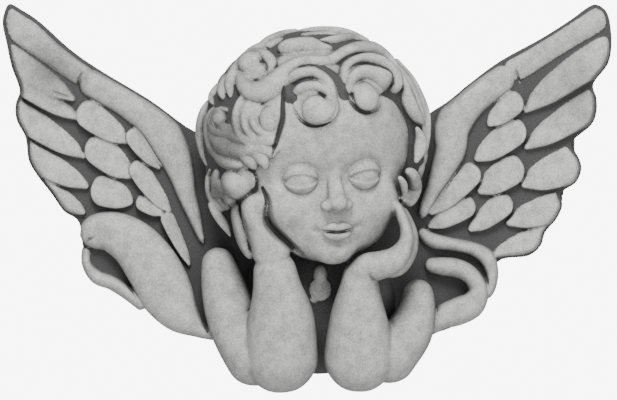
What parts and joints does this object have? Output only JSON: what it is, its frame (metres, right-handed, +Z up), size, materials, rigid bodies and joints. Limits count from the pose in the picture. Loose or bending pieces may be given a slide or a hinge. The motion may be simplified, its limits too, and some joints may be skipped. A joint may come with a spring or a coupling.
{
  "type": "cherub wall plaque",
  "caption": "Winged cherub in cast stone, cheeks resting on its hands, with curled hair, spread wings, drapery at the sides and a flat back that hangs on a wall",
  "frame": {"origin": "on the flat back, where it meets the wall, midway between the wing tips and near mid height", "axes": "+X to the viewer's right along the wings, +Y out of the back into the wall, +Z up; the face looks along -Y"},
  "size_m": [0.4255, 0.1049, 0.2709],
  "materials": {
    "cast_stone": "matte, sandy, dark wash in the hollows"
  },
  "bodies": {
    "root": {"winged_cherub": "cast_stone"}
  },
  "joints": []
}
